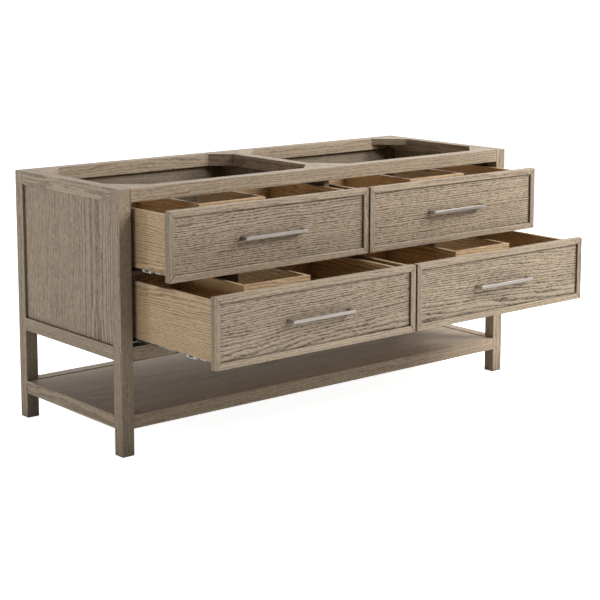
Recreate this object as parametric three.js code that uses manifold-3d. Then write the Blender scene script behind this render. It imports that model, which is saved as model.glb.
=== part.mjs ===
// A bathroom vanity cabinet for two basins: an oak carcass on four square posts, with four drawers
// in two rows, open framing for the basins on top and an open shelf near the floor.
// Millimetres, +Z up, +X to the right, and the drawers open towards -Y. The origin is on the floor,
// in the middle of the footprint, with the drawers drawn out as far as they are here.
import * as THREE from "three";
import { mergeVertices } from "three/addons/utils/BufferGeometryUtils.js";
import Module from "manifold-3d";

const wasm = await Module();
wasm.setup();

// ---------------------------------------------------------------- driving dimensions
const WIDTH = 1524;
const DEPTH = 555;
const HEIGHT = 752;
const STOCK = 39; // square section of the posts and of every rail

const SHELF_BOTTOM = 76.5;
const BODY_BOTTOM = 271;

const SIDE_PANEL = 12;
const SIDE_PANEL_RECESS = 8;
const CLEAT_HEIGHT = 40;
const BACK_PANEL = 9;
const BACK_PANEL_RECESS = 10;
const BOTTOM_PANEL = 9;
const BOTTOM_PANEL_LIFT = 12;
const SHELF_PANEL = 10;
const SHELF_PANEL_DROP = 2;
const PARTITION = 19;
const PARTITION_SETBACK = 1; // behind the drawer fronts

const WASTE_CUT_WIDTH = 220;
const WASTE_CUT_LOW = 460;
const WASTE_CUT_HIGH = 640;

const OUTER_BRACE_LEG = 88;
const OUTER_BRACE_THICKNESS = 22;
const INNER_BLOCK_LEG = 57;

const CENTRE_REVEAL = 3.5; // from the middle of the cabinet to each drawer front
const SIDE_REVEAL = 4.5;
const FRONT_HEIGHT = 194.5;
const FRONT_THICKNESS = 19;
const LOWER_FRONT_Z = 313.5;
const UPPER_FRONT_Z = 513.5;
const FRAME_FLAT = 16.5;
const FRAME_WIDTH = 19;
const FRAME_LIP = 6; // depth of the frame in front of its panel
const RABBET = 11.5; // from the front's outer edge to the rabbet
const PANEL_PLAY = 0.5; // between the rabbet and the panel's edge

const BOX_WALL = 12.5;
const BOX_HEIGHT = 163.5;
const BOX_LIFT = 18; // from the bottom of the front to the bottom of the box
const BOX_LENGTH = 428;
const BOX_OUTER_X = 710;
const BOX_INNER_X = 17;
const BOX_BOTTOM = 6;
const BOX_BOTTOM_LIFT = 13;
const NOTCH_INNER_X = 288; // outsides of the walls round the waste pipe's notch
const NOTCH_OUTER_X = 525;
const NOTCH_FROM_FRONT = 110;

const PULL_LENGTH = 224;
const PULL_HEIGHT = 9;
const PULL_REACH = 26;
const PULL_BAR = 8;
const PULL_FOOT = 9;
const PULL_CORNER = 2.5;

const SLIDE_LENGTH = 410;
const SLIDE_SETBACK = 3.5;
const RUNNER_LENGTH = 400;
const RUNNER_SETBACK = 5.5;

const UPPER_OPENING = 172.5; // how far each row is drawn out
const LOWER_OPENING = 374.5;

// ---------------------------------------------------------------- worked-out places
const HALF_WIDTH = WIDTH / 2;
const HALF_DEPTH = DEPTH / 2;
const POST_INNER_X = HALF_WIDTH - STOCK;
const POST_INNER_Y = HALF_DEPTH - STOCK;
const TOP_RAIL_Z = HEIGHT - STOCK;
const BODY_OPEN_LOW = BODY_BOTTOM + STOCK;
const SHELF_TOP = SHELF_BOTTOM + STOCK;
const FRONT_WIDTH = POST_INNER_X - SIDE_REVEAL - CENTRE_REVEAL;
const FRONT_CENTRE_X = CENTRE_REVEAL + FRONT_WIDTH / 2;
const NOTCH_CENTRE_X = (NOTCH_INNER_X + NOTCH_OUTER_X) / 2;
const FRONTMOST = HALF_DEPTH + LOWER_OPENING + PULL_REACH - FRAME_LIP;
const ORIGIN_SHIFT = (FRONTMOST - HALF_DEPTH) / 2;

// ---------------------------------------------------------------- materials
const metal = { roughness: 0.32, metalness: 1 };
const oak = new THREE.MeshStandardMaterial({ color: 0x9a8770, roughness: 0.62, metalness: 0 });
const oakPanel = new THREE.MeshStandardMaterial({ color: 0x94826c, roughness: 0.64, metalness: 0 });
const oakFront = new THREE.MeshStandardMaterial({ color: 0xa5927a, roughness: 0.6, metalness: 0 });
const ash = new THREE.MeshStandardMaterial({ color: 0xc9a878, roughness: 0.5, metalness: 0 });
const nickel = new THREE.MeshStandardMaterial({ color: 0xb4aea6, ...metal });
const zinc = new THREE.MeshStandardMaterial({ color: 0x9b9da0, ...metal });

// ---------------------------------------------------------------- shapes
const DIRECTIONS = {
  x: [0, 0, 1, 1, 0, 0, 0, 1, 0],
  y: [0, 1, 0, 0, 0, 1, 1, 0, 0],
  z: [1, 0, 0, 0, 1, 0, 0, 0, 1],
};

// A straight length with one section. Points are [y, z] along x, [x, z] along y, [x, y] along z.
function length(along, from, to, outline, hollows = []) {
  const point = ([a, b]) => (along === "y" ? new THREE.Vector2(b, a) : new THREE.Vector2(a, b));
  const loop = (points) => (THREE.ShapeUtils.isClockWise(points) ? points.reverse() : points);
  const shape = new THREE.Shape(loop(outline.map(point)));
  for (const hollow of hollows) {
    shape.holes.push(new THREE.Path(loop(hollow.map(point))));
  }
  const geometry = new THREE.ExtrudeGeometry(shape, { depth: to - from, bevelEnabled: false });
  geometry.translate(0, 0, from);
  const [a, b, c, d, e, f, g, h, i] = DIRECTIONS[along];
  return geometry.applyMatrix4(new THREE.Matrix4().set(a, b, c, 0, d, e, f, 0, g, h, i, 0, 0, 0, 0, 1));
}

function rectangle(x0, x1, y0, y1) {
  return [
    [x0, y0],
    [x1, y0],
    [x1, y1],
    [x0, y1],
  ];
}

// A board between two corners, given as [low, high] along each axis.
function board([x0, x1], [y0, y1], [z0, z1]) {
  const geometry = new THREE.BoxGeometry(x1 - x0, y1 - y0, z1 - z0);
  return geometry.translate((x0 + x1) / 2, (y0 + y1) / 2, (z0 + z1) / 2);
}

// A rectangular moulding with mitred corners. The profile is a list of [inset, depth]: how far in
// from the rectangle's edge, and how far behind its front.
function mitredFrame(width, height, profile) {
  const corners = [
    [-1, 0],
    [1, 0],
    [1, 1],
    [-1, 1],
  ];
  const positions = [];
  for (const [side, top] of corners) {
    for (const [inset, depth] of profile) {
      const z = top ? height - inset : inset;
      positions.push(side * (width / 2 - inset), depth, z);
    }
  }
  const count = profile.length;
  const index = [];
  for (let corner = 0; corner < corners.length; corner++) {
    for (let i = 0; i < count; i++) {
      const here = corner * count;
      const there = ((corner + 1) % corners.length) * count;
      const next = (i + 1) % count;
      index.push(here + i, there + i, there + next, here + i, there + next, here + next);
    }
  }
  const geometry = new THREE.BufferGeometry();
  geometry.setAttribute("position", new THREE.Float32BufferAttribute(positions, 3));
  geometry.setIndex(index);
  geometry.computeVertexNormals();
  return geometry;
}

const WELD = 1e-4; // corners closer than this are one corner

function solid(geometry) {
  const bare = geometry.clone();
  bare.deleteAttribute("normal");
  bare.deleteAttribute("uv");
  const merged = mergeVertices(bare, WELD);
  return new wasm.Manifold(
    new wasm.Mesh({
      numProp: 3,
      vertProperties: new Float32Array(merged.attributes.position.array),
      triVerts: new Uint32Array(merged.index.array),
    }),
  );
}

function joined(...geometries) {
  const mesh = geometries
    .map(solid)
    .reduce((whole, piece) => whole.add(piece))
    .getMesh();
  const geometry = new THREE.BufferGeometry();
  geometry.setAttribute("position", new THREE.Float32BufferAttribute(mesh.vertProperties, 3));
  geometry.setIndex(Array.from(mesh.triVerts));
  const facets = geometry.toNonIndexed();
  facets.computeVertexNormals();
  return facets;
}

function add(group, name, geometry, material) {
  const mesh = new THREE.Mesh(geometry, material);
  mesh.name = name;
  group.add(mesh);
  return mesh;
}

// A three-cornered brace in the corner at (x, y), with legs towards dx and dy.
function cornerBrace(x, y, dx, dy, leg, z0, z1) {
  return length("z", z0, z1, [
    [x, y],
    [x + dx * leg, y],
    [x, y + dy * leg],
  ]);
}

const SIDES = [
  ["left", -1],
  ["right", 1],
];
const across = (side, near, far) => [side * near, side * far].sort((a, b) => a - b);

// ---------------------------------------------------------------- carcass
function buildCarcass(cabinet) {
  const betweenPostsX = [-POST_INNER_X, POST_INNER_X];
  const betweenPostsY = [-POST_INNER_Y, POST_INNER_Y];
  const bodyOpen = [BODY_OPEN_LOW, TOP_RAIL_Z];
  const endPieces = [
    ["front", -1],
    ["back", 1],
  ];
  for (const [sideName, side] of SIDES) {
    const postX = across(side, POST_INNER_X, HALF_WIDTH);
    for (const [endName, end] of endPieces) {
      const postY = across(end, POST_INNER_Y, HALF_DEPTH);
      add(cabinet, `post_${endName}_${sideName}`, board(postX, postY, [0, HEIGHT]), oak);
    }
    const lowRail = board(postX, betweenPostsY, [BODY_BOTTOM, BODY_OPEN_LOW]);
    add(cabinet, `side_bottom_rail_${sideName}`, lowRail, oak);
    const shelfRail = board(postX, betweenPostsY, [SHELF_BOTTOM, SHELF_TOP]);
    add(cabinet, `shelf_rail_${sideName}`, shelfRail, oak);
    const braces = endPieces.map(([, end]) =>
      cornerBrace(
        side * POST_INNER_X,
        end * POST_INNER_Y,
        -side,
        -end,
        OUTER_BRACE_LEG,
        HEIGHT - OUTER_BRACE_THICKNESS,
        HEIGHT,
      ),
    );
    const topRail = board(postX, betweenPostsY, [TOP_RAIL_Z, HEIGHT]);
    add(cabinet, `side_top_rail_${sideName}`, joined(topRail, ...braces), oak);
    add(cabinet, `side_panel_${sideName}`, sidePanel(side, betweenPostsY, bodyOpen), oakPanel);
  }
  for (const [endName, end] of endPieces) {
    const railY = across(end, POST_INNER_Y, HALF_DEPTH);
    const levels = [
      ["top_rail", TOP_RAIL_Z],
      ["bottom_rail", BODY_BOTTOM],
    ];
    for (const [rail, z] of levels) {
      add(cabinet, `${endName}_${rail}`, board(betweenPostsX, railY, [z, z + STOCK]), oak);
    }
    const shelfRail = board(betweenPostsX, railY, [SHELF_BOTTOM, SHELF_TOP]);
    add(cabinet, `shelf_rail_${endName}`, shelfRail, oak);
  }
  const bottomZ = BODY_BOTTOM + BOTTOM_PANEL_LIFT;
  const bottom = board(betweenPostsX, betweenPostsY, [bottomZ, bottomZ + BOTTOM_PANEL]);
  add(cabinet, "bottom_panel", bottom, oakPanel);
  const shelfZ = SHELF_TOP - SHELF_PANEL_DROP;
  const shelf = board(betweenPostsX, betweenPostsY, [shelfZ - SHELF_PANEL, shelfZ]);
  add(cabinet, "shelf_panel", shelf, oakPanel);
  add(cabinet, "back_panel", backPanel(bodyOpen), oakPanel);
  add(cabinet, "cross_rail", crossRail(), oak);
  const partitionFront = -HALF_DEPTH + FRONT_THICKNESS + PARTITION_SETBACK;
  const partitionY = [partitionFront, HALF_DEPTH - BACK_PANEL_RECESS - BACK_PANEL];
  const partition = board([-PARTITION / 2, PARTITION / 2], partitionY, bodyOpen);
  add(cabinet, "centre_partition", partition, oakPanel);
}

// The panel between the rails, with the two cleats that carry the slides on its inner face.
function sidePanel(side, [y0, y1], [z0, z1]) {
  const face = HALF_WIDTH - SIDE_PANEL_RECESS;
  const inner = face - SIDE_PANEL;
  const outline = [[side * face, z0]];
  for (const frontZ of [LOWER_FRONT_Z, UPPER_FRONT_Z]) {
    const low = frontZ + BOX_LIFT - CLEAT_HEIGHT / 2;
    outline.push([side * inner, frontZ === LOWER_FRONT_Z ? z0 : low]);
    outline.push([side * inner, low], [side * POST_INNER_X, low]);
    outline.push([side * POST_INNER_X, low + CLEAT_HEIGHT], [side * inner, low + CLEAT_HEIGHT]);
  }
  outline.push([side * inner, z1], [side * face, z1]);
  const distinct = outline.filter((p, i) => i === 0 || p.some((v, k) => v !== outline[i - 1][k]));
  return length("y", y0, y1, distinct);
}

// The back, with a cut-out behind each basin for the water and waste pipes.
function backPanel([z0, z1]) {
  const front = HALF_DEPTH - BACK_PANEL_RECESS - BACK_PANEL;
  const half = WASTE_CUT_WIDTH / 2;
  const cutOuts = SIDES.map(([, side]) => {
    const centre = side * NOTCH_CENTRE_X;
    return rectangle(centre - half, centre + half, WASTE_CUT_LOW, WASTE_CUT_HIGH);
  });
  return length("y", front, front + BACK_PANEL, rectangle(-POST_INNER_X, POST_INNER_X, z0, z1), cutOuts);
}

// The rail between the two basins, with full-height blocks on its left and thinner braces on its
// right, as the outer corners have.
function crossRail() {
  const half = STOCK / 2;
  const pieces = [board([-half, half], [-POST_INNER_Y, POST_INNER_Y], [TOP_RAIL_Z, HEIGHT])];
  for (const end of [-1, 1]) {
    const y = end * POST_INNER_Y;
    pieces.push(cornerBrace(-half, y, -1, -end, INNER_BLOCK_LEG, TOP_RAIL_Z, HEIGHT));
    const low = HEIGHT - OUTER_BRACE_THICKNESS;
    pieces.push(cornerBrace(half, y, 1, -end, OUTER_BRACE_LEG, low, HEIGHT));
  }
  return joined(...pieces);
}

// ---------------------------------------------------------------- slides
// Undermount slides. Each stands a little inside the drawer box's side, under its bottom.
const TRAY = 2;
const TRAY_DROP = 14; // from the bottom of the box down to the underside of the tray
const FLANGE_RISE = 16;
const LIP_RISE = 7;
const CHANNEL_START = 1.5; // from the inner face of the box's side
const CHANNEL_WIDTH = 23;
const RUNNER_PLAY = 1;
const RUNNER_WALL = 1.5;
const RUNNER_LIFT = 0.5;
const RUNNER_TOP = -1;

function slideSection(cabinetFace, boxSideInner, toMiddle, boxZ) {
  const at = (x) => boxSideInner + toMiddle * x;
  const lip0 = at(CHANNEL_START);
  const lip1 = at(CHANNEL_START + CHANNEL_WIDTH);
  const z0 = boxZ - TRAY_DROP;
  const z1 = z0 + TRAY;
  const lipTop = z1 + LIP_RISE;
  return [
    [cabinetFace, boxZ + FLANGE_RISE],
    [cabinetFace, z0],
    [lip1, z0],
    [lip1, lipTop],
    [lip1 - toMiddle * TRAY, lipTop],
    [lip1 - toMiddle * TRAY, z1],
    [lip0 + toMiddle * TRAY, z1],
    [lip0 + toMiddle * TRAY, lipTop],
    [lip0, lipTop],
    [lip0, z1],
    [cabinetFace + toMiddle * TRAY, z1],
    [cabinetFace + toMiddle * TRAY, boxZ + FLANGE_RISE],
  ];
}

function runnerSection(boxSideInner, toMiddle, boxZ) {
  const near = CHANNEL_START + TRAY + RUNNER_PLAY;
  const far = CHANNEL_START + CHANNEL_WIDTH - TRAY - RUNNER_PLAY;
  const at = (x) => boxSideInner + toMiddle * x;
  const z0 = boxZ - TRAY_DROP + TRAY + RUNNER_LIFT;
  const z1 = z0 + RUNNER_WALL;
  const top = boxZ + RUNNER_TOP;
  return [
    [at(near), z0],
    [at(far), z0],
    [at(far), top],
    [at(far - RUNNER_WALL), top],
    [at(far - RUNNER_WALL), z1],
    [at(near + RUNNER_WALL), z1],
    [at(near + RUNNER_WALL), top],
    [at(near), top],
  ];
}

function buildSlides(cabinet, drawer) {
  const { name, side, frontZ, opening } = drawer;
  const boxZ = frontZ + BOX_LIFT;
  const places = [
    ["outer", side * POST_INNER_X, side * (BOX_OUTER_X - BOX_WALL), -side],
    ["inner", (side * PARTITION) / 2, side * (BOX_INNER_X + BOX_WALL), side],
  ];
  const frontBack = -HALF_DEPTH + FRONT_THICKNESS;
  const runners = new THREE.Group();
  runners.position.y = -opening / 2;
  cabinet.add(runners);
  for (const [where, face, boxInner, inward] of places) {
    const y0 = frontBack + SLIDE_SETBACK;
    const rail = length("y", y0, y0 + SLIDE_LENGTH, slideSection(face, boxInner, inward, boxZ));
    add(cabinet, `${name}_${where}_slide_rail`, rail, zinc);
    const y1 = frontBack + RUNNER_SETBACK;
    const runner = length("y", y1, y1 + RUNNER_LENGTH, runnerSection(boxInner, inward, boxZ));
    add(runners, `${name}_${where}_slide_runner`, runner, zinc);
  }
}

// ---------------------------------------------------------------- drawers
const FRAME_PROFILE = [
  [0, 0],
  [FRAME_FLAT, 0],
  [FRAME_WIDTH, FRAME_LIP],
  [RABBET, FRAME_LIP],
  [RABBET, FRONT_THICKNESS],
  [0, FRONT_THICKNESS],
];

// The box's outline in plan, from its outer walls and the notch's walls, moved inwards by `inset`.
function boxPlan(side, inset) {
  const local = (x) => side * (x - FRONT_CENTRE_X);
  const y0 = FRONT_THICKNESS + inset;
  const y1 = FRONT_THICKNESS + BOX_LENGTH - inset;
  const notchWall = inset ? 0 : BOX_WALL;
  const notchY = FRONT_THICKNESS + NOTCH_FROM_FRONT + notchWall;
  return [
    [local(BOX_INNER_X + inset), y0],
    [local(BOX_OUTER_X - inset), y0],
    [local(BOX_OUTER_X - inset), y1],
    [local(NOTCH_OUTER_X - notchWall), y1],
    [local(NOTCH_OUTER_X - notchWall), notchY],
    [local(NOTCH_INNER_X + notchWall), notchY],
    [local(NOTCH_INNER_X + notchWall), y1],
    [local(BOX_INNER_X + inset), y1],
  ];
}

// A bar pull with square feet at its ends, bent from one flat bar.
function pullOutline() {
  const half = PULL_LENGTH / 2;
  const back = FRAME_LIP;
  const front = FRAME_LIP - PULL_REACH;
  const bend = PULL_CORNER;
  return [
    [-half, back],
    [-half, front + bend],
    [-half + bend, front],
    [half - bend, front],
    [half, front + bend],
    [half, back],
    [half - PULL_FOOT, back],
    [half - PULL_FOOT, front + PULL_BAR],
    [-half + PULL_FOOT, front + PULL_BAR],
    [-half + PULL_FOOT, back],
  ];
}

function buildDrawer(cabinet, { name, side, frontZ, opening }) {
  const drawer = new THREE.Group();
  drawer.position.set(side * FRONT_CENTRE_X, -HALF_DEPTH - opening, frontZ);
  cabinet.add(drawer);
  const frame = mitredFrame(FRONT_WIDTH, FRONT_HEIGHT, FRAME_PROFILE);
  add(drawer, `${name}_front_frame`, frame, oakFront);
  const panelInset = RABBET + PANEL_PLAY;
  const halfPanel = FRONT_WIDTH / 2 - panelInset;
  const panelZ = [panelInset, FRONT_HEIGHT - panelInset];
  const panel = board([-halfPanel, halfPanel], [FRAME_LIP, FRONT_THICKNESS], panelZ);
  add(drawer, `${name}_front_panel`, panel, oakFront);
  const walls = length("z", BOX_LIFT, BOX_LIFT + BOX_HEIGHT, boxPlan(side, 0), [boxPlan(side, BOX_WALL)]);
  add(drawer, `${name}_box`, walls, ash);
  const floorZ = BOX_LIFT + BOX_BOTTOM_LIFT;
  const floor = length("z", floorZ, floorZ + BOX_BOTTOM, boxPlan(side, BOX_WALL));
  add(drawer, `${name}_box_bottom`, floor, ash);
  const middle = FRONT_HEIGHT / 2;
  const pull = length("z", middle - PULL_HEIGHT / 2, middle + PULL_HEIGHT / 2, pullOutline());
  add(drawer, `${name}_pull`, pull, nickel);
}

// ---------------------------------------------------------------- the vanity
const vanity = new THREE.Group();
const cabinet = new THREE.Group();
cabinet.position.y = ORIGIN_SHIFT;
vanity.add(cabinet);
buildCarcass(cabinet);
const rows = [
  ["upper", UPPER_FRONT_Z, UPPER_OPENING],
  ["lower", LOWER_FRONT_Z, LOWER_OPENING],
];
for (const [row, frontZ, opening] of rows) {
  for (const [sideName, side] of SIDES) {
    const drawer = { name: `${row}_${sideName}`, side, frontZ, opening };
    buildSlides(cabinet, drawer);
    buildDrawer(cabinet, drawer);
  }
}

export default vanity;
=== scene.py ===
"""The looks of a bathroom vanity cabinet: stained oak boards, pale drawer boxes, bar pulls and slides.

Every board is modelled on its own, with eased edges. Its mesh carries where each point lay in the log
it was sawn from, so the grain runs along the board, shows rings on its ends and arches on its face, and
goes with it when a drawer moves. All lengths are in metres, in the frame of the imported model.
"""

import math
import random

import bmesh
import bpy
import numpy as np
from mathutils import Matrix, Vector


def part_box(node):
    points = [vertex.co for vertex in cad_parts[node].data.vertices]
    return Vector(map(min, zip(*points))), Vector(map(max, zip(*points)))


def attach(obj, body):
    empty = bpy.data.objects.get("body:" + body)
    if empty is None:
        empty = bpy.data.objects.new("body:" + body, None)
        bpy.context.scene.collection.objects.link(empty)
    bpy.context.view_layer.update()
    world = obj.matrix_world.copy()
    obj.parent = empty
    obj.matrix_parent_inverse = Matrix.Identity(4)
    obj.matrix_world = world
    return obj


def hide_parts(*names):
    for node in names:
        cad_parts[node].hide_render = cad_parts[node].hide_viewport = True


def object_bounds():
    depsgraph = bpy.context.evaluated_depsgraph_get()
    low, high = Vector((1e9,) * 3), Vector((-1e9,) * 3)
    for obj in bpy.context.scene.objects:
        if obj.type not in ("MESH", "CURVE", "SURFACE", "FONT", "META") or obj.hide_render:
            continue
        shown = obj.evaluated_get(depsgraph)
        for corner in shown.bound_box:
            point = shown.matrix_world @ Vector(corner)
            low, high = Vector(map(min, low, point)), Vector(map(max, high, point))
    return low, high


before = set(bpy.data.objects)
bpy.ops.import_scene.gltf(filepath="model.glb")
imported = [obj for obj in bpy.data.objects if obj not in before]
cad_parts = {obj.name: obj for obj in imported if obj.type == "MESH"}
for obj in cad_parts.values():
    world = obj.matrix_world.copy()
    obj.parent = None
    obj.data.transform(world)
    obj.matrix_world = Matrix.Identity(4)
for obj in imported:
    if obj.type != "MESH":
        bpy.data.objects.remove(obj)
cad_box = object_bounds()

MM = 0.001
X, Y, Z = 0, 1, 2
SIDES = ("left", "right")
ENDS = ("front", "back")
ROWS = ("upper", "lower")
DRAWERS = [f"{row}_{side}" for row in ROWS for side in SIDES]
SLIDES = ("outer", "inner")


# ---------------------------------------------------------------- reading the frame
SAME_LEVEL = 0.05 * MM  # corners closer than this are at one place


def levels(node, axis):
    """The distinct places of a CAD node's corners along one axis, lowest first."""
    found = []
    for value in sorted(v.co[axis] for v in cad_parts[node].data.vertices):
        if not found or value - found[-1] > SAME_LEVEL:
            found.append(value)
    return found


def extent(node):
    low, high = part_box(node)
    return [(low[axis], high[axis]) for axis in (X, Y, Z)]


# ---------------------------------------------------------------- materials
def srgb(red, green, blue):
    """A colour given on the 0 to 255 scale of a screen, as linear light."""

    def linear(value):
        value /= 255
        return value / 12.92 if value <= 0.04045 else ((value + 0.055) / 1.055) ** 2.4

    return (linear(red), linear(green), linear(blue), 1.0)


MIX_SHARE, MIX_A, MIX_B, MIX_COLOUR = 0, 6, 7, 2  # a Mix node's sockets when it mixes colours


class Shader:
    """A material's node tree, with short names for the nodes that the materials share."""

    def __init__(self, name):
        self.material = bpy.data.materials.new(name)
        self.material.use_nodes = True
        self.tree = self.material.node_tree
        self.surface = self.tree.nodes["Principled BSDF"]

    def node(self, kind, inputs=None, **settings):
        made = self.tree.nodes.new("ShaderNode" + kind)
        for key, value in settings.items():
            setattr(made, key, value)
        for key, value in (inputs or {}).items():
            self.feed(made.inputs[key], value)
        return made

    def feed(self, socket, value):
        if isinstance(value, bpy.types.NodeSocket):
            self.tree.links.new(value, socket)
        elif socket.type == "VECTOR":
            socket.default_value = value[:3]
        else:
            socket.default_value = value

    def math(self, operation, a, b=0.0, clamp=False):
        made = self.node("Math", {0: a, 1: b}, operation=operation, use_clamp=clamp)
        return made.outputs[0]

    def vector(self, operation, a, b):
        return self.node("VectorMath", {0: a, 1: b}, operation=operation).outputs[0]

    def attribute(self, name, output="Fac"):
        return self.node("Attribute", attribute_name=name).outputs[output]

    def noise(self, place, stretch, detail=2.0, roughness=0.5, output="Fac"):
        scaled = self.vector("MULTIPLY", place, stretch)
        inputs = {"Vector": scaled, "Scale": 1.0, "Detail": detail, "Roughness": roughness}
        return self.node("TexNoise", inputs).outputs[output]

    def ramp(self, value, low, high, to_low=0.0, to_high=1.0):
        inputs = {0: value, 1: low, 2: high, 3: to_low, 4: to_high}
        return self.node("MapRange", inputs, interpolation_type="SMOOTHSTEP").outputs[0]

    def mix(self, share, a, b):
        made = self.node("Mix", data_type="RGBA")
        self.feed(made.inputs[MIX_SHARE], share)
        self.feed(made.inputs[MIX_A], a)
        self.feed(made.inputs[MIX_B], b)
        return made.outputs[MIX_COLOUR]

    def bright(self, colour, factor):
        made = self.node("VectorMath", {0: colour}, operation="SCALE")
        self.feed(made.inputs["Scale"], factor)
        return made.outputs[0]

    def bump(self, height, distance, strength=1.0):
        inputs = {"Height": height, "Distance": distance, "Strength": strength}
        self.feed(self.surface.inputs["Normal"], self.node("Bump", inputs).outputs[0])

    def set(self, **inputs):
        for name, value in inputs.items():
            self.feed(self.surface.inputs[name.replace("_", " ")], value)


# The wood's patterns: how many waves a metre holds along the log and in the two ways across it.
SWEEP_WAVES = (2.0, 7.0, 7.0)
RIPPLE_WAVES = (14.0, 40.0, 40.0)
UNEVEN_WAVES = (1.0, 75.0, 75.0)
PORE_WAVES = (58.0, 480.0, 480.0)
STRAY_WAVES = (70.0, 700.0, 700.0)
FIBRE_WAVES = (60.0, 2600.0, 2600.0)
PATCH_WAVES = (2.2, 22.0, 22.0)

SWEEP_REACH = (0.0, 18.0 * MM, 18.0 * MM)  # how far the log's slow bends move its rings
RIPPLE_REACH = (0.0, 5.0 * MM, 5.0 * MM)  # and its quick ones
UNEVENNESS = 1.8  # of the rings' widths, in rings
EARLY_START = (0.0, 0.12)  # where in a ring the porous early wood sets in
EARLY_END = (0.25, 0.65)  # and where it gives way to late wood
PORE_CUT = (0.40, 0.58)
STRAY_CUT = (0.52, 0.66)
STRAY_SHARE = 0.80  # how strong the stray pores are, against those in rows
TONE_AND_SHADE_STEP = 0.035  # how much brighter one step of a board's tone and painted shade is
WORN_MOST = 0.16
WORN_BRIGHTNESS = 1.10
PAINTED_CREVICE_SHADE = (  # painted shade in crevices, corners and near other boards: how far each looks, how open counts as open, and its darkest shade
    (7.0 * MM, 0.85, 0.40),
    (90.0 * MM, 0.95, 0.50),
)
PAINTED_SHADE_CLOSED = 0.20
PAINTED_SHADE_SAMPLES = 4


def bent_grain(s, place):
    """The place in the log, moved by the slow and the quick bends of its fibres."""
    half = (0.5, 0.5, 0.5)
    sweep = s.noise(place, SWEEP_WAVES, 2.0, 0.5, "Color")
    ripple = s.noise(place, RIPPLE_WAVES, 2.0, 0.55, "Color")
    sweep = s.vector("MULTIPLY", s.vector("SUBTRACT", sweep, half), SWEEP_REACH)
    ripple = s.vector("MULTIPLY", s.vector("SUBTRACT", ripple, half), RIPPLE_REACH)
    return s.vector("ADD", place, s.vector("ADD", sweep, ripple))


def early_wood(s, place, bent, ring):
    """1 in the early wood of each growth ring and 0 in the late, less where the figure is weak."""
    from_heart = s.vector("MULTIPLY", bent, (0.0, 1.0, 1.0))
    from_heart = s.node("VectorMath", {0: from_heart}, operation="LENGTH").outputs["Value"]
    uneven = s.math("MULTIPLY", s.noise(place, UNEVEN_WAVES, 1.0, 0.5), UNEVENNESS)
    rings = s.math("ADD", s.math("MULTIPLY", from_heart, 1.0 / ring), uneven)
    year = s.math("FRACT", rings)
    early = s.math("SUBTRACT", s.ramp(year, *EARLY_START), s.ramp(year, *EARLY_END))
    return s.math("MULTIPLY", early, s.attribute("figure"))


def open_pores(s, bent, early):
    """The short dark pores: rows of them in the early wood, and strays anywhere."""
    row = s.math("MULTIPLY", s.ramp(s.noise(bent, PORE_WAVES, 3.0, 0.65), *PORE_CUT), early)
    stray = s.ramp(s.noise(bent, STRAY_WAVES, 2.0, 0.6), *STRAY_CUT)
    stray = s.math("MULTIPLY", stray, s.math("MULTIPLY", s.attribute("figure"), STRAY_SHARE))
    return s.math("MAXIMUM", row, stray)


def wood(name, light, dark, pore, ring, pore_share, ring_share, relief):
    """Wood sawn from a log: growth rings, rows of open pores, fibres and worn edges, with painted shade in
    crevices, corners and near other boards.

    The "grain" attribute holds the distance along the log and the two distances from its heart.
    """
    s = Shader(name)
    place = s.attribute("grain", "Vector")
    bent = bent_grain(s, place)
    early = early_wood(s, place, bent, ring)
    pores = open_pores(s, bent, early)
    fibre = s.noise(place, FIBRE_WAVES, 2.0, 0.6)
    patch = s.noise(place, PATCH_WAVES, 3.0, 0.55)

    colour = s.mix(s.math("MULTIPLY", early, ring_share), light, dark)
    colour = s.mix(s.math("MULTIPLY", pores, pore_share), colour, pore)
    shade = s.math("ADD", s.ramp(patch, 0.3, 0.7, 0.94, 1.06), s.ramp(fibre, 0.3, 0.7, -0.05, 0.05))
    # each board's random tone, or for some boards a fixed painted shade, brightens or darkens its colour
    shade = s.math("ADD", shade, s.math("MULTIPLY", s.attribute("tone"), TONE_AND_SHADE_STEP))
    colour = s.bright(colour, shade)
    worn = s.math("MULTIPLY", s.attribute("edge"), s.ramp(patch, 0.40, 0.65, 0.0, WORN_MOST))
    colour = s.mix(worn, colour, s.bright(light, WORN_BRIGHTNESS))
    # painted shade: the colour is darkened wherever other surfaces are near, in crevices, corners, recesses
    # and under rails
    for reach, open_at, darkest in PAINTED_CREVICE_SHADE:
        occlusion_shade = s.node("AmbientOcclusion", {"Distance": reach}, samples=PAINTED_SHADE_SAMPLES).outputs["AO"]
        colour = s.bright(colour, s.ramp(occlusion_shade, PAINTED_SHADE_CLOSED, open_at, darkest, 1.0))
    roughness = s.math("ADD", s.ramp(fibre, 0.2, 0.8, 0.52, 0.64), s.math("MULTIPLY", pores, 0.2))
    s.set(Base_Color=colour, Roughness=roughness, Specular_IOR_Level=0.45)
    height = s.math("MULTIPLY", pores, -1.0)
    height = s.math("SUBTRACT", height, s.math("MULTIPLY", early, 0.3))
    height = s.math("ADD", height, s.math("MULTIPLY", fibre, 0.2))
    s.bump(height, relief, 0.8)
    return s.material


def brushed_metal(name, colour, roughness):
    """Metal brushed along its length, a little duller in places."""
    s = Shader(name)
    place = s.attribute("grain", "Vector")
    lines = s.noise(place, (12.0, 5200.0, 5200.0), 2.0, 0.6)
    smudge = s.noise(place, (45.0, 90.0, 90.0), 3.0, 0.55)
    tint = s.bright(colour, s.ramp(lines, 0.25, 0.75, 0.97, 1.03))
    rough = s.math("ADD", s.ramp(smudge, 0.35, 0.7, roughness - 0.02, roughness + 0.04),
                   s.ramp(lines, 0.3, 0.7, -0.01, 0.01))
    s.set(Base_Color=tint, Roughness=rough, Metallic=1.0)
    return s.material


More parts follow.
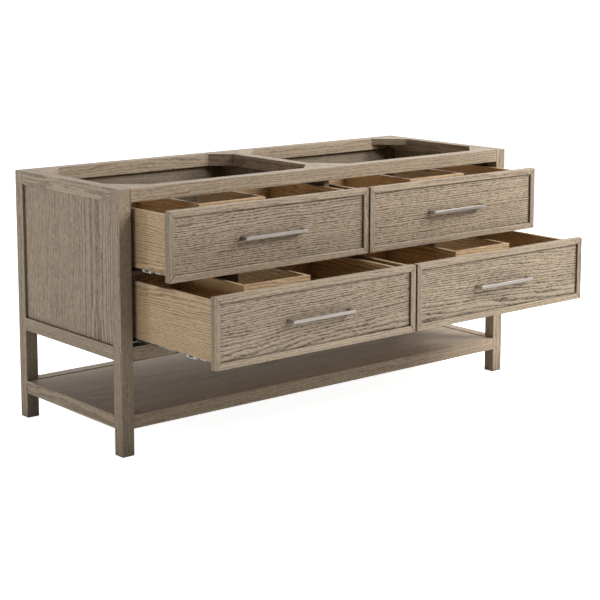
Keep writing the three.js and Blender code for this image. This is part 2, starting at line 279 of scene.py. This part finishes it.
def zinc_coating(name):
    """Zinc-plated sheet steel, with faint crystals and a greasy bloom."""
    s = Shader(name)
    place = s.node("TexCoord").outputs["Object"]
    crystal = s.node("TexVoronoi", {"Vector": place, "Scale": 260.0}).outputs["Color"]
    crystal = s.node("SeparateColor", {0: crystal}).outputs[0]
    bloom = s.noise(place, (35.0, 35.0, 35.0), 3.0, 0.6)
    tint = s.mix(s.ramp(bloom, 0.3, 0.7), srgb(150, 148, 145), srgb(122, 120, 118))
    tint = s.bright(tint, s.ramp(crystal, 0.0, 1.0, 0.92, 1.06))
    rough = s.math("ADD", s.ramp(crystal, 0.0, 1.0, 0.38, 0.50), s.ramp(bloom, 0.3, 0.7, 0.0, 0.1))
    s.set(Base_Color=tint, Roughness=rough, Metallic=1.0)
    s.bump(crystal, 0.02 * MM, 0.4)
    return s.material


def moulded_plastic(name, colour):
    """Nylon with a fine spark-eroded surface."""
    s = Shader(name)
    place = s.node("TexCoord").outputs["Object"]
    speck = s.noise(place, (2400.0, 2400.0, 2400.0), 2.0, 0.6)
    cloud = s.noise(place, (60.0, 60.0, 60.0), 3.0, 0.5)
    s.set(Base_Color=s.bright(colour, s.ramp(cloud, 0.3, 0.7, 0.93, 1.05)),
          Roughness=s.ramp(speck, 0.3, 0.7, 0.42, 0.56))
    s.bump(speck, 0.04 * MM, 0.5)
    return s.material


OAK = dict(light=srgb(184, 165, 140), dark=srgb(154, 134, 110), pore=srgb(66, 51, 38),
           pore_share=0.95, ring_share=0.5, relief=0.40 * MM)
MATERIALS = {
    "oak_frame": wood("stained_oak_frame", ring=5.0 * MM, **OAK),
    "oak_panel": wood("stained_oak_panel", ring=6.5 * MM, **OAK),
    "oak_front": wood("stained_oak_front", ring=5.5 * MM, **OAK),
    "drawer_ash": wood("pale_drawer_wood", light=srgb(214, 186, 147), dark=srgb(188, 155, 116),
                       pore=srgb(120, 86, 54), ring=4.5 * MM, pore_share=0.6, ring_share=0.8,
                       relief=0.15 * MM),
    "satin_nickel": brushed_metal("satin_nickel", srgb(190, 182, 176), 0.31),
    "galvanised_steel": zinc_coating("galvanised_steel"),
}
PALE_NYLON = moulded_plastic("pale_nylon", srgb(226, 226, 224))


# ---------------------------------------------------------------- building boards
LOG_LENGTH = 9.0
HEART_DISTANCE = (90.0 * MM, 150.0 * MM)
OWN_TILT = 6.0 * MM  # how far the heart drifts off in each metre of the board's length
TILT_ACROSS = 0.4  # how much of the tilt through the board it has across it too
SHARP_ANGLE = 0.25


class Board:
    """One length of wood or metal: its mesh, and where each point lay in the log."""

    def __init__(self, bm, along, across, ease=0.8 * MM, wear=2.5 * MM, heart=None, tilt=None,
                 figure=1.0, tone=None, seed=""):
        ease_edges(bm, ease, wear)
        edge = bm.verts.layers.float["edge"]
        bm.verts.index_update()
        self.points = np.array([v.co[:] for v in bm.verts])
        self.edge = np.array([v[edge] for v in bm.verts])
        self.faces = [[v.index for v in face.verts] for face in bm.faces]
        bm.free()
        rng = random.Random(seed)
        own_tone = rng.uniform(-1.0, 1.0)
        # a fixed value replaces the random tone; the script's fixed values are all painted shade
        self.tone = own_tone if tone is None else tone
        self.figure = figure
        along, across = Vector(along).normalized(), Vector(across).normalized()
        through = along.cross(across)
        middle = (self.points.min(0) + self.points.max(0)) / 2
        local = self.points - middle
        a, b, c = (local @ np.array(axis) for axis in (along, across, through))
        if heart is None:  # sawn well away from the heart, so the grain is straight
            turn = rng.uniform(0.0, 2.0 * math.pi)
            away = rng.uniform(*HEART_DISTANCE)
            heart = (away * math.cos(turn), away * math.sin(turn))
        if tilt is None:
            tilt = rng.uniform(-OWN_TILT, OWN_TILT)
        start = rng.uniform(0.0, LOG_LENGTH)
        b += heart[0] + a * tilt * TILT_ACROSS
        c += heart[1] + a * tilt
        self.grain = np.stack([a + start, b, c], 1)


def ease_edges(bm, ease, wear):
    """Rounds every edge, and marks the points near them, where the finish wears, as 1 and the rest 0."""
    bmesh.ops.recalc_face_normals(bm, faces=bm.faces)
    edge = bm.verts.layers.float.new("edge")
    sharp = [e for e in bm.edges if len(e.link_faces) == 2 and e.calc_face_angle(0.0) > SHARP_ANGLE]
    rounded = set(bmesh.ops.bevel(
        bm, geom=sharp, offset=ease, offset_type="OFFSET", segments=2, profile=0.5, affect="EDGES",
        clamp_overlap=True)["faces"])
    flat = [face for face in bm.faces if face not in rounded]
    for vert in bm.verts:
        vert[edge] = 1.0
    if wear:
        bmesh.ops.inset_region(bm, faces=flat, thickness=wear, use_even_offset=True, use_boundary=True)
    for face in flat:
        for vert in face.verts:
            vert[edge] = 0.0


def box_mesh(ranges):
    """A bmesh of a block between a low and a high place along each axis."""
    bm = bmesh.new()
    made = bmesh.ops.create_cube(bm, size=1.0)
    low = Vector([r[0] for r in ranges])
    size = Vector([r[1] - r[0] for r in ranges])
    for vert in made["verts"]:
        vert.co = low + Vector([size[k] * (vert.co[k] + 0.5) for k in range(3)])
    return bm


def place_in(axis, a, b, level):
    """The point whose two coordinates other than axis are a and b, in the order X, Y, Z."""
    point = [a, b]
    point.insert(axis, level)
    return point


def extruded_mesh(cells, axis, low, high):
    """A bmesh of flat polygons, given in the two coordinates other than axis, pushed from low to high."""
    bm = bmesh.new()
    corners = {}

    def corner(a, b):
        key = (round(a, 6), round(b, 6))
        if key not in corners:
            corners[key] = bm.verts.new(place_in(axis, a, b, low))
        return corners[key]

    faces = [bm.faces.new([corner(a, b) for a, b in cell]) for cell in cells]
    pushed = bmesh.ops.extrude_face_region(bm, geom=faces, use_keep_orig=True)["geom"]
    shift = Vector(place_in(axis, 0.0, 0.0, high - low))
    bmesh.ops.translate(bm, vec=shift, verts=[v for v in pushed if isinstance(v, bmesh.types.BMVert)])
    return bm


def lathe_mesh(centre, axis, rings, sides=12):
    """A bmesh turned about a line through centre: rings of a radius and a height along the axis."""
    bm = bmesh.new()
    loops = []
    for radius, height in rings:
        turns = [2.0 * math.pi * k / sides for k in range(sides)]
        offsets = [place_in(axis, radius * math.cos(t), radius * math.sin(t), height) for t in turns]
        loops.append([bm.verts.new(Vector(centre) + Vector(offset)) for offset in offsets])
    for low, high in zip(loops, loops[1:]):
        for k in range(sides):
            bm.faces.new((low[k - 1], low[k], high[k], high[k - 1]))
    bm.faces.new(loops[0])
    bm.faces.new(loops[-1])
    return bm


UNIT = ((1, 0, 0), (0, 1, 0), (0, 0, 1))


def plank(ranges, along, across, **looks):
    """A plain board between low and high places, with its grain along one axis and its face across."""
    return Board(box_mesh(ranges), UNIT[along], UNIT[across], **looks)


def piece(name, boards, slot, body, replaces=(), material=None):
    """One named object of one or more boards, which rides on a body."""
    points, faces, grain, edge, tone, figure = [], [], [], [], [], []
    for board in boards:
        base = sum(len(p) for p in points)
        points.append(board.points)
        faces += [[base + i for i in face] for face in board.faces]
        grain.append(board.grain)
        edge.append(board.edge)
        tone.append(np.full(len(board.points), board.tone))
        figure.append(np.full(len(board.points), board.figure))
    mesh = bpy.data.meshes.new(name)
    mesh.from_pydata(np.concatenate(points).tolist(), [], faces)
    mesh.attributes.new("grain", "FLOAT_VECTOR", "POINT").data.foreach_set(
        "vector", np.concatenate(grain).astype(np.float32).ravel())
    for key, values in (("edge", edge), ("tone", tone), ("figure", figure)):
        mesh.attributes.new(key, "FLOAT", "POINT").data.foreach_set(
            "value", np.concatenate(values).astype(np.float32))
    mesh.materials.append(material or MATERIALS[slot])
    mesh.shade_smooth()
    made = bpy.data.objects.new(name, mesh)
    bpy.context.scene.collection.objects.link(made)
    smooth = made.modifiers.new("flat_faces", "WEIGHTED_NORMAL")
    smooth.keep_sharp = True
    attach(made, body)
    if replaces:
        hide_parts(*replaces)
    return made


# ---------------------------------------------------------------- carcass
STRAIGHT = dict(ease=1.0 * MM, figure=0.6)
BUTT_SEAM = 0.5 * MM
SHELF_SEAM = 1.8 * MM
# painted shade: the upright posts are darkened for the dimmer sheen that upright grain shows under these
# lights
POST_PAINTED_SHADE = -2.2
# painted shade: the shelf is darkened for the shade under the drawers
SHELF_PAINTED_SHADE = -1.5
# painted shade: the back panel and the centre partition are darkened for the shade inside the cabinet
INSIDE_PAINTED_SHADE = -9.0


def carcass_board(node, along, across, slot="oak_frame", **looks):
    """A board between others: its ends stand a hair off what they butt against."""
    looks = {**STRAIGHT, **looks}
    ranges = extent(node)
    if along != Z:
        ranges[along] = (ranges[along][0] + BUTT_SEAM, ranges[along][1] - BUTT_SEAM)
    board = plank(ranges, along, across, seed=node, **looks)
    return piece(f"wood_{node}", [board], slot, "carcass", [node])


def brace_board(corner, leg_x, leg_y, z_range, seed):
    """A three-cornered brace: the corner it sits in, its legs, and its low and high faces."""
    x, y = corner
    outline = [(x, y), (x + leg_x, y), (x, y + leg_y)]
    bm = extruded_mesh([outline], Z, *z_range)
    return Board(bm, (leg_x, -leg_y, 0.0), (leg_x, leg_y, 0.0), ease=0.8 * MM, figure=0.6, seed=seed)


def make_posts_and_rails():
    for end in ENDS:
        for side in SIDES:
            carcass_board(f"post_{end}_{side}", Z, X, tone=POST_PAINTED_SHADE)
        for rail in (f"{end}_top_rail", f"{end}_bottom_rail", f"shelf_rail_{end}"):
            carcass_board(rail, X, Z)
    for side in SIDES:
        for rail in (f"side_bottom_rail_{side}", f"shelf_rail_{side}"):
            carcass_board(rail, Y, Z)
        make_side_top_rail(side)


def make_side_top_rail(side):
    """The rail over a side panel, with the flat braces in its two corners."""
    node = f"side_top_rail_{side}"
    x_range, y_range, z_range = extent(node)
    stock = z_range[1] - z_range[0]
    outer, inward = (x_range[0], 1.0) if side == "left" else (x_range[1], -1.0)
    leg = x_range[1] - x_range[0] - stock
    face = outer + inward * stock
    between = (y_range[0] + BUTT_SEAM, y_range[1] - BUTT_SEAM)
    rail = plank([tuple(sorted((outer, face))), between, z_range], Y, Z, seed=node, **STRAIGHT)
    brace_z = (levels(node, Z)[1], z_range[1])
    braces = [
        brace_board((face, y), inward * leg, turn * leg, brace_z, f"{node}{turn}")
        for y, turn in ((y_range[0], 1.0), (y_range[1], -1.0))
    ]
    piece(f"wood_{node}", [rail, *braces], "oak_frame", "carcass", [node])


def make_cross_rail():
    """The rail between the basins: thick blocks in its left corners, flat braces in its right ones."""
    node = "cross_rail"
    x_range, y_range, z_range = extent(node)
    half = (z_range[1] - z_range[0]) / 2
    boards = [plank([(-half, half), y_range, z_range], Y, Z, seed=node, **STRAIGHT)]
    brace_z = (levels(node, Z)[1], z_range[1])
    for y, turn in ((y_range[0], 1.0), (y_range[1], -1.0)):
        block, brace = -half - x_range[0], x_range[1] - half
        boards.append(brace_board((-half, y), -block, turn * block, z_range, f"block{turn}"))
        boards.append(brace_board((half, y), brace, turn * brace, brace_z, f"brace{turn}"))
    piece(f"wood_{node}", boards, "oak_frame", "carcass", [node])


def make_panels():
    for side in SIDES:
        node = f"side_panel_{side}"
        z_levels, x_levels = levels(node, Z), levels(node, X)
        if side == "right":
            x_levels = x_levels[::-1]
        outer, inner, cleat = x_levels
        y_range = extent(node)[Y]
        face = [tuple(sorted((outer, inner))), y_range, (z_levels[0], z_levels[-1])]
        boards = [plank(face, Z, Y, seed=node, heart=(0.15, 0.08), tilt=0.008, figure=0.75)]
        for low, high in ((z_levels[1], z_levels[2]), (z_levels[3], z_levels[4])):
            ranges = [tuple(sorted((inner, cleat))), y_range, (low, high)]
            boards.append(plank(ranges, Y, Z, seed=f"{node}{low}"))
        piece(f"wood_{node}", boards, "oak_panel", "carcass", [node])
    carcass_board("bottom_panel", X, Y, "oak_panel", heart=(0.02, 0.12), tilt=0.02)
    carcass_board("centre_partition", Z, Y, "oak_panel", heart=(0.03, 0.09), tilt=0.02,
                  tone=INSIDE_PAINTED_SHADE)
    make_shelf_panel()
    make_back_panel()


def make_shelf_panel():
    """The shelf lies in its frame of rails with an open seam all round."""
    node = "shelf_panel"
    x_range, y_range, z_range = extent(node)
    x_range = (x_range[0] + SHELF_SEAM, x_range[1] - SHELF_SEAM)
    y_range = (y_range[0] + SHELF_SEAM, y_range[1] - SHELF_SEAM)
    board = plank([x_range, y_range, z_range], X, Y, seed=node, heart=(0.04, 0.12), tilt=0.015, figure=0.35,
                  tone=SHELF_PAINTED_SHADE)
    piece(f"wood_{node}", [board], "oak_panel", "carcass", [node])


def make_back_panel():
    """One sheet with a square-cut hole behind each basin."""
    node = "back_panel"
    xs, zs = levels(node, X), levels(node, Z)
    holes = {(1, 1), (3, 1)}  # column and row among the places where an edge runs
    cells = []
    for i, (x0, x1) in enumerate(zip(xs, xs[1:])):
        for k, (z0, z1) in enumerate(zip(zs, zs[1:])):
            if (i, k) not in holes:
                cells.append([(x0, z0), (x1, z0), (x1, z1), (x0, z1)])
    bm = extruded_mesh(cells, Y, *extent(node)[Y])
    sheet = Board(bm, UNIT[X], UNIT[Z], ease=0.5 * MM, heart=(0.03, 0.11), tilt=0.02, figure=0.55,
                  tone=INSIDE_PAINTED_SHADE, seed=node)
    piece(f"wood_{node}", [sheet], "oak_panel", "carcass", [node])


SCREW_HEAD = (  # radius and height of each ring of a low domed head with a socket in it
    (3.8 * MM, 0.0), (3.8 * MM, 0.5 * MM), (3.0 * MM, 1.4 * MM), (1.6 * MM, 1.8 * MM), (1.5 * MM, 0.7 * MM))
SCREW_MARGIN = 9.0 * MM
SCREW_COLUMNS = 9
MIDDLE_SCREW_EVERY = 4  # columns


def make_back_screws():
    """Screws along the top and bottom of the back panel, and half-way up in some of the columns."""
    x_range, y_range, z_range = extent("back_panel")
    low, high = z_range[0] + SCREW_MARGIN, z_range[1] - SCREW_MARGIN
    places = []
    columns = np.linspace(x_range[0] + SCREW_MARGIN, x_range[1] - SCREW_MARGIN, SCREW_COLUMNS)
    for k, x in enumerate(columns):
        heights = [low, high] if k % MIDDLE_SCREW_EVERY else [low, (low + high) / 2, high]
        places += [(x, y_range[1], z) for z in heights]
    heads = [Board(lathe_mesh(place, Y, SCREW_HEAD), UNIT[X], UNIT[Z], ease=0.1 * MM, wear=0.0)
             for place in places]
    piece("screws_back_panel", heads, "galvanised_steel", "carcass")


# ---------------------------------------------------------------- drawers
MITRE_SEAM = 0.6 * MM
NOSE_DEPTH = 1.8 * MM  # behind the moulding's nose it is cut back, which leaves a shadow gap
BOX_HEART_ACROSS = (0.09, 0.13)
BOX_HEART_THROUGH = (0.06, 0.10)
BOX_TILT = 0.02
# painted shade: the upright stiles of the fronts are darkened for the dimmer sheen that upright grain shows
# under these lights
STILE_PAINTED_SHADE = -4.5
PANEL_FIGURES = {  # across and through from the log's heart, and how much the board leans to it
    "upper_left": (-0.130, 0.065, 0.016),
    "upper_right": (0.150, 0.060, -0.012),
    "lower_left": (0.100, 0.080, -0.020),
    "lower_right": (0.092, 0.075, 0.022),
}


def make_front(drawer):
    """Four mitred lengths of moulding round a flat panel."""
    node = f"{drawer}_front_frame"
    xs, ys, zs = (levels(node, axis) for axis in (X, Y, Z))
    front, _, back = ys
    rabbet, flat, inner = (xs[k] - xs[0] for k in (1, 2, 3))
    nose = front + NOSE_DEPTH
    profile = [(0.0, front), (flat, front), (inner, nose), (rabbet, nose), (rabbet, back), (0.0, back)]
    corners = [(xs[0], zs[0], 1, 1), (xs[-1], zs[0], -1, 1),
               (xs[-1], zs[-1], -1, -1), (xs[0], zs[-1], 1, -1)]
    shorten = [(1, 0), (0, 1), (-1, 0), (0, -1)]
    boards = []
    for k, name in enumerate(("bottom", "right", "top", "left")):
        bm = bmesh.new()
        ends = []
        for sign, (x, z, dx, dz) in ((1, corners[k]), (-1, corners[(k + 1) % 4])):
            x += sign * shorten[k][0] * MITRE_SEAM
            z += sign * shorten[k][1] * MITRE_SEAM
            ends.append([bm.verts.new((x + dx * inset, y, z + dz * inset)) for inset, y in profile])
        for i in range(len(profile)):
            following = (i + 1) % len(profile)
            bm.faces.new((ends[0][i], ends[1][i], ends[1][following], ends[0][following]))
        bm.faces.new(ends[0])
        bm.faces.new(ends[1][::-1])
        along, across = ((1, 0, 0), (0, 0, 1)) if name in ("bottom", "top") else ((0, 0, 1), (1, 0, 0))
        boards.append(Board(bm, along, across, ease=0.5 * MM, wear=1.2 * MM, figure=0.6,
                            tone=STILE_PAINTED_SHADE if name in ("left", "right") else None,
                            seed=f"{drawer}_{name}"))
    body = f"{drawer}_drawer"
    piece(f"wood_{node}", boards, "oak_front", body, [node])
    node = f"{drawer}_front_panel"
    across, through, tilt = PANEL_FIGURES[drawer]
    board = plank(extent(node), X, Z, seed=node, ease=0.3 * MM, heart=(across, through), tilt=tilt)
    piece(f"wood_{node}", [board], "oak_front", body, [node])


def make_box(drawer):
    """Sides, front, rear walls and the walls round the waste pipe's notch, each a board of its own."""
    node = f"{drawer}_box"
    x0, x0_in, n0, n0_in, n1_in, n1, x1_in, x1 = levels(node, X)
    y0, y0_in, notch, notch_in, y1_in, y1 = levels(node, Y)
    z_range = extent(node)[Z]
    lengthwise = [((x0, x0_in), (y0, y1)), ((x1_in, x1), (y0, y1)),
                  ((n0, n0_in), (notch_in, y1)), ((n1_in, n1), (notch_in, y1))]
    crosswise = [((x0_in, x1_in), (y0, y0_in)), ((n0, n1), (notch, notch_in)),
                 ((x0_in, n0), (y1_in, y1)), ((n1, x1_in), (y1_in, y1))]
    boards = []
    for grain, walls in ((Y, lengthwise), (X, crosswise)):
        for k, (x_range, y_range) in enumerate(walls):
            seed = f"{node}{grain}{k}"
            rng = random.Random(seed)
            across = rng.choice((-1, 1)) * rng.uniform(*BOX_HEART_ACROSS)
            through = rng.uniform(*BOX_HEART_THROUGH)
            tilt = rng.uniform(-BOX_TILT, BOX_TILT)
            boards.append(plank([x_range, y_range, z_range], grain, Z, seed=seed, ease=1.0 * MM,
                                heart=(across, through), tilt=tilt))
    body = f"{drawer}_drawer"
    piece(f"wood_{node}", boards, "drawer_ash", body, [node])
    node = f"{drawer}_box_bottom"
    x0, n0, n1, x1 = levels(node, X)
    y0, notch, y1 = levels(node, Y)
    outline = [(x0, y0), (x1, y0), (x1, y1), (n1, y1), (n1, notch), (n0, notch), (n0, y1), (x0, y1)]
    bm = extruded_mesh([outline], Z, *extent(node)[Z])
    sheet = Board(bm, UNIT[X], UNIT[Y], ease=0.2 * MM, wear=0.0, heart=(0.1, 0.12), tilt=0.01, seed=node)
    piece(f"wood_{node}", [sheet], "drawer_ash", body, [node])


def make_pull(drawer):
    """A flat bar with square feet, its corners and edges softened."""
    node = f"{drawer}_pull"
    x0, bend0, foot0, foot1, bend1, x1 = levels(node, X)
    front, bend, bar, back = levels(node, Y)
    outline = [(x0, back), (x0, bend), (bend0, front), (bend1, front), (x1, bend), (x1, back),
               (foot1, back), (foot1, bar), (foot0, bar), (foot0, back)]
    bm = extruded_mesh([outline], Z, *extent(node)[Z])
    board = Board(bm, UNIT[X], UNIT[Z], ease=0.7 * MM, wear=0.0, seed=node)
    piece(f"metal_{node}", [board], "satin_nickel", f"{drawer}_drawer", [node])


MEMBER_WALL = 1.5 * MM
MEMBER_PLAY = 1.0 * MM
MEMBER_LENGTH = 402.0 * MM
MEMBER_SETBACK = 3.0 * MM
CLIP_SPAN = (39.0 * MM, 58.0 * MM)  # how far the clip stands in from the side of the drawer box
LEVER_SPAN = (40.0 * MM, 54.0 * MM)
GUIDE_SPAN = (2.0 * MM, 12.0 * MM)
CLIP_SHAPE = (  # how far in from the side, how far behind the box's front, and how far below the box
    (CLIP_SPAN, (2.0 * MM, 84.0 * MM), (-5.0 * MM, 0.0)),
    (LEVER_SPAN, (40.0 * MM, 104.0 * MM), (-11.0 * MM, -4.0 * MM)),
    (LEVER_SPAN, (84.0 * MM, 86.5 * MM), (-13.0 * MM, -10.0 * MM)),
    (LEVER_SPAN, (91.0 * MM, 93.5 * MM), (-13.0 * MM, -10.0 * MM)),
    (LEVER_SPAN, (98.0 * MM, 100.5 * MM), (-13.0 * MM, -10.0 * MM)),
    (GUIDE_SPAN, (40.0 * MM, 62.0 * MM), (-3.0 * MM, 0.0)),
    (GUIDE_SPAN, (84.0 * MM, 92.0 * MM), (-5.0 * MM, 0.0)),
    (GUIDE_SPAN, (115.0 * MM, 123.0 * MM), (-5.0 * MM, 0.0)),
    (GUIDE_SPAN, (84.0 * MM, 123.0 * MM), (-7.0 * MM, -4.5 * MM)),
)


def make_slide_fittings(drawer, where):
    """What a slide holds on the drawer itself: a channel inside the runner, and the locking clip."""
    body = f"{drawer}_drawer"
    runner = f"{drawer}_{where}_slide_runner"
    runner_x = extent(runner)[X]
    box_x, box_y, box_z = extent(f"{drawer}_box")
    floor_z = extent(f"{drawer}_box_bottom")[Z][0]
    runner_wall = levels(runner, X)[1] - levels(runner, X)[0]
    x0 = runner_x[0] + runner_wall + MEMBER_PLAY
    x1 = runner_x[1] - runner_wall - MEMBER_PLAY
    low = levels(runner, Z)[1] + MEMBER_PLAY
    wall = MEMBER_WALL
    outline = [(x0, low), (x0, floor_z), (x1, floor_z), (x1, low), (x1 - wall, low),
               (x1 - wall, floor_z - wall), (x0 + wall, floor_z - wall), (x0 + wall, low)]
    start = box_y[0] + MEMBER_SETBACK
    bm = extruded_mesh([outline], Y, start, start + MEMBER_LENGTH)
    member = Board(bm, UNIT[Y], UNIT[Z], ease=0.3 * MM, wear=0.0, seed=f"{drawer}{where}")
    piece(f"slide_member_{drawer}_{where}", [member], "galvanised_steel", body)

    near, inward = (box_x[0], 1.0) if x0 + x1 < sum(box_x) else (box_x[1], -1.0)
    parts = []
    for span, (y0, y1), (z0, z1) in CLIP_SHAPE:
        x_range = tuple(sorted(near + inward * place for place in span))
        top = floor_z if span == CLIP_SPAN else box_z[0] + z1
        ranges = [x_range, (box_y[0] + y0, box_y[0] + y1), (box_z[0] + z0, top)]
        parts.append(plank(ranges, Y, Z, ease=0.8 * MM, wear=0.0))
    piece(f"slide_clip_{drawer}_{where}", parts, None, body, material=PALE_NYLON)


# ---------------------------------------------------------------- the object
def dress_slides():
    for drawer in DRAWERS:
        for where in SLIDES:
            for part in ("rail", "runner"):
                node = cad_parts[f"{drawer}_{where}_slide_{part}"]
                node.data.materials.clear()
                node.data.materials.append(MATERIALS["galvanised_steel"])


def make_vanity():
    make_posts_and_rails()
    make_cross_rail()
    make_panels()
    make_back_screws()
    for drawer in DRAWERS:
        make_front(drawer)
        make_box(drawer)
        make_pull(drawer)
        for where in SLIDES:
            make_slide_fittings(drawer, where)
    dress_slides()


# ---------------------------------------------------------------- studio
FLOOR_REACH = 60.0
FLOOR_GLOW = 0.92
WORLD_BRIGHT_WAY = (0.94, 0.34, 0.0)
WORLD_TURN = (-0.6, 1.0)  # from where the world's light starts to rise to where it is full
WORLD_STRENGTH = (0.03, 1.25)
LIGHTS = {  # azimuth and elevation in degrees, distance and size in metres, watts, and its target's x
    "key_light": (20.0, 35.0, 3.6, 1.0, 41.0, 0.0),
    "right_light": (54.0, 32.0, 2.9, 0.8, 42.0, 0.2),
    "left_fill": (-90.0, 7.0, 3.6, 0.6, 17.5, 0.0),
    "back_left_fill": (-130.0, 2.0, 3.6, 0.6, 14.0, 0.0),
    "back_right_fill": (130.0, 45.0, 3.6, 1.2, 20.0, 0.0),
}
CAMERA_PLACE = (-3.1006, -3.6534, 1.3494)
CAMERA_PITCH = 8.527  # degrees down
CAMERA_YAW = 39.813  # degrees to the right
CAMERA_LENS = 95.0  # millimetres on a sensor 36 mm wide
CAMERA_SHIFT = -0.16


def make_floor():
    """A white sweep: it takes and returns light as matt card does, and shows as even, lit-through white."""
    mesh = bpy.data.meshes.new("studio_floor")
    corners = [(-1, -1), (1, -1), (1, 1), (-1, 1)]
    mesh.from_pydata([(x * FLOOR_REACH, y * FLOOR_REACH, 0) for x, y in corners], [], [(0, 1, 2, 3)])
    floor = bpy.data.objects.new("studio_floor", mesh)
    bpy.context.scene.collection.objects.link(floor)
    s = Shader("studio_white")
    seen = s.node("LightPath").outputs["Is Camera Ray"]
    s.set(Base_Color=(0.80, 0.80, 0.80, 1.0), Roughness=0.9, Specular_IOR_Level=0.1,
          Emission_Color=(1.0, 1.0, 1.0, 1.0), Emission_Strength=s.math("MULTIPLY", seen, FLOOR_GLOW))
    mesh.materials.append(s.material)


def make_world():
    """White behind everything, and a soft light that is strongest from the right and the back."""
    world = bpy.data.worlds.new("studio")
    world.use_nodes = True
    tree = world.node_tree
    background = tree.nodes["Background"]
    place = tree.nodes.new("ShaderNodeTexCoord").outputs["Generated"]
    facing = tree.nodes.new("ShaderNodeVectorMath")
    facing.operation = "DOT_PRODUCT"
    facing.inputs[1].default_value = WORLD_BRIGHT_WAY
    soft = tree.nodes.new("ShaderNodeMapRange")
    soft.interpolation_type = "SMOOTHSTEP"
    for socket, value in zip(soft.inputs[1:5], (*WORLD_TURN, *WORLD_STRENGTH)):
        socket.default_value = value
    seen = tree.nodes.new("ShaderNodeLightPath").outputs["Is Camera Ray"]
    strength = tree.nodes.new("ShaderNodeMix")
    tree.links.new(place, facing.inputs[0])
    tree.links.new(facing.outputs["Value"], soft.inputs[0])
    tree.links.new(seen, strength.inputs[0])
    tree.links.new(soft.outputs[0], strength.inputs[2])
    strength.inputs[3].default_value = 1.0
    background.inputs["Color"].default_value = (1.0, 1.0, 1.0, 1.0)
    tree.links.new(strength.outputs[0], background.inputs["Strength"])
    bpy.context.scene.world = world


def make_area_light(name, azimuth, elevation, distance, size, power, target_x):
    """A round softbox. Azimuth is measured from the front towards the right, both angles in degrees."""
    light = bpy.data.lights.new(name, "AREA")
    light.shape = "DISK"
    light.size = size
    light.energy = power
    lamp = bpy.data.objects.new(name, light)
    bpy.context.scene.collection.objects.link(lamp)
    turn, rise = math.radians(azimuth), math.radians(elevation)
    way = Vector((math.sin(turn) * math.cos(rise), -math.cos(turn) * math.cos(rise), math.sin(rise)))
    low, high = cad_box
    lamp.location = (low + high) / 2 + Vector((target_x, 0.0, 0.0)) + way * distance
    lamp.rotation_mode = "QUATERNION"
    lamp.rotation_quaternion = way.to_track_quat("Z", "Y")


def make_studio():
    bpy.context.scene.view_settings.view_transform = "Standard"
    make_world()
    make_floor()
    for name, light in LIGHTS.items():
        make_area_light(name, *light)


def make_camera():
    """A long lens from the front left, above the cabinet and a little tipped down."""
    camera = bpy.data.cameras.new("camera")
    camera.sensor_width = 36.0
    camera.lens = CAMERA_LENS
    camera.shift_y = CAMERA_SHIFT
    holder = bpy.data.objects.new("camera", camera)
    bpy.context.scene.collection.objects.link(holder)
    holder.location = CAMERA_PLACE
    holder.rotation_euler = (math.radians(90.0 - CAMERA_PITCH), 0.0, math.radians(-CAMERA_YAW))
    bpy.context.scene.camera = holder


make_camera()
make_vanity()
make_studio()
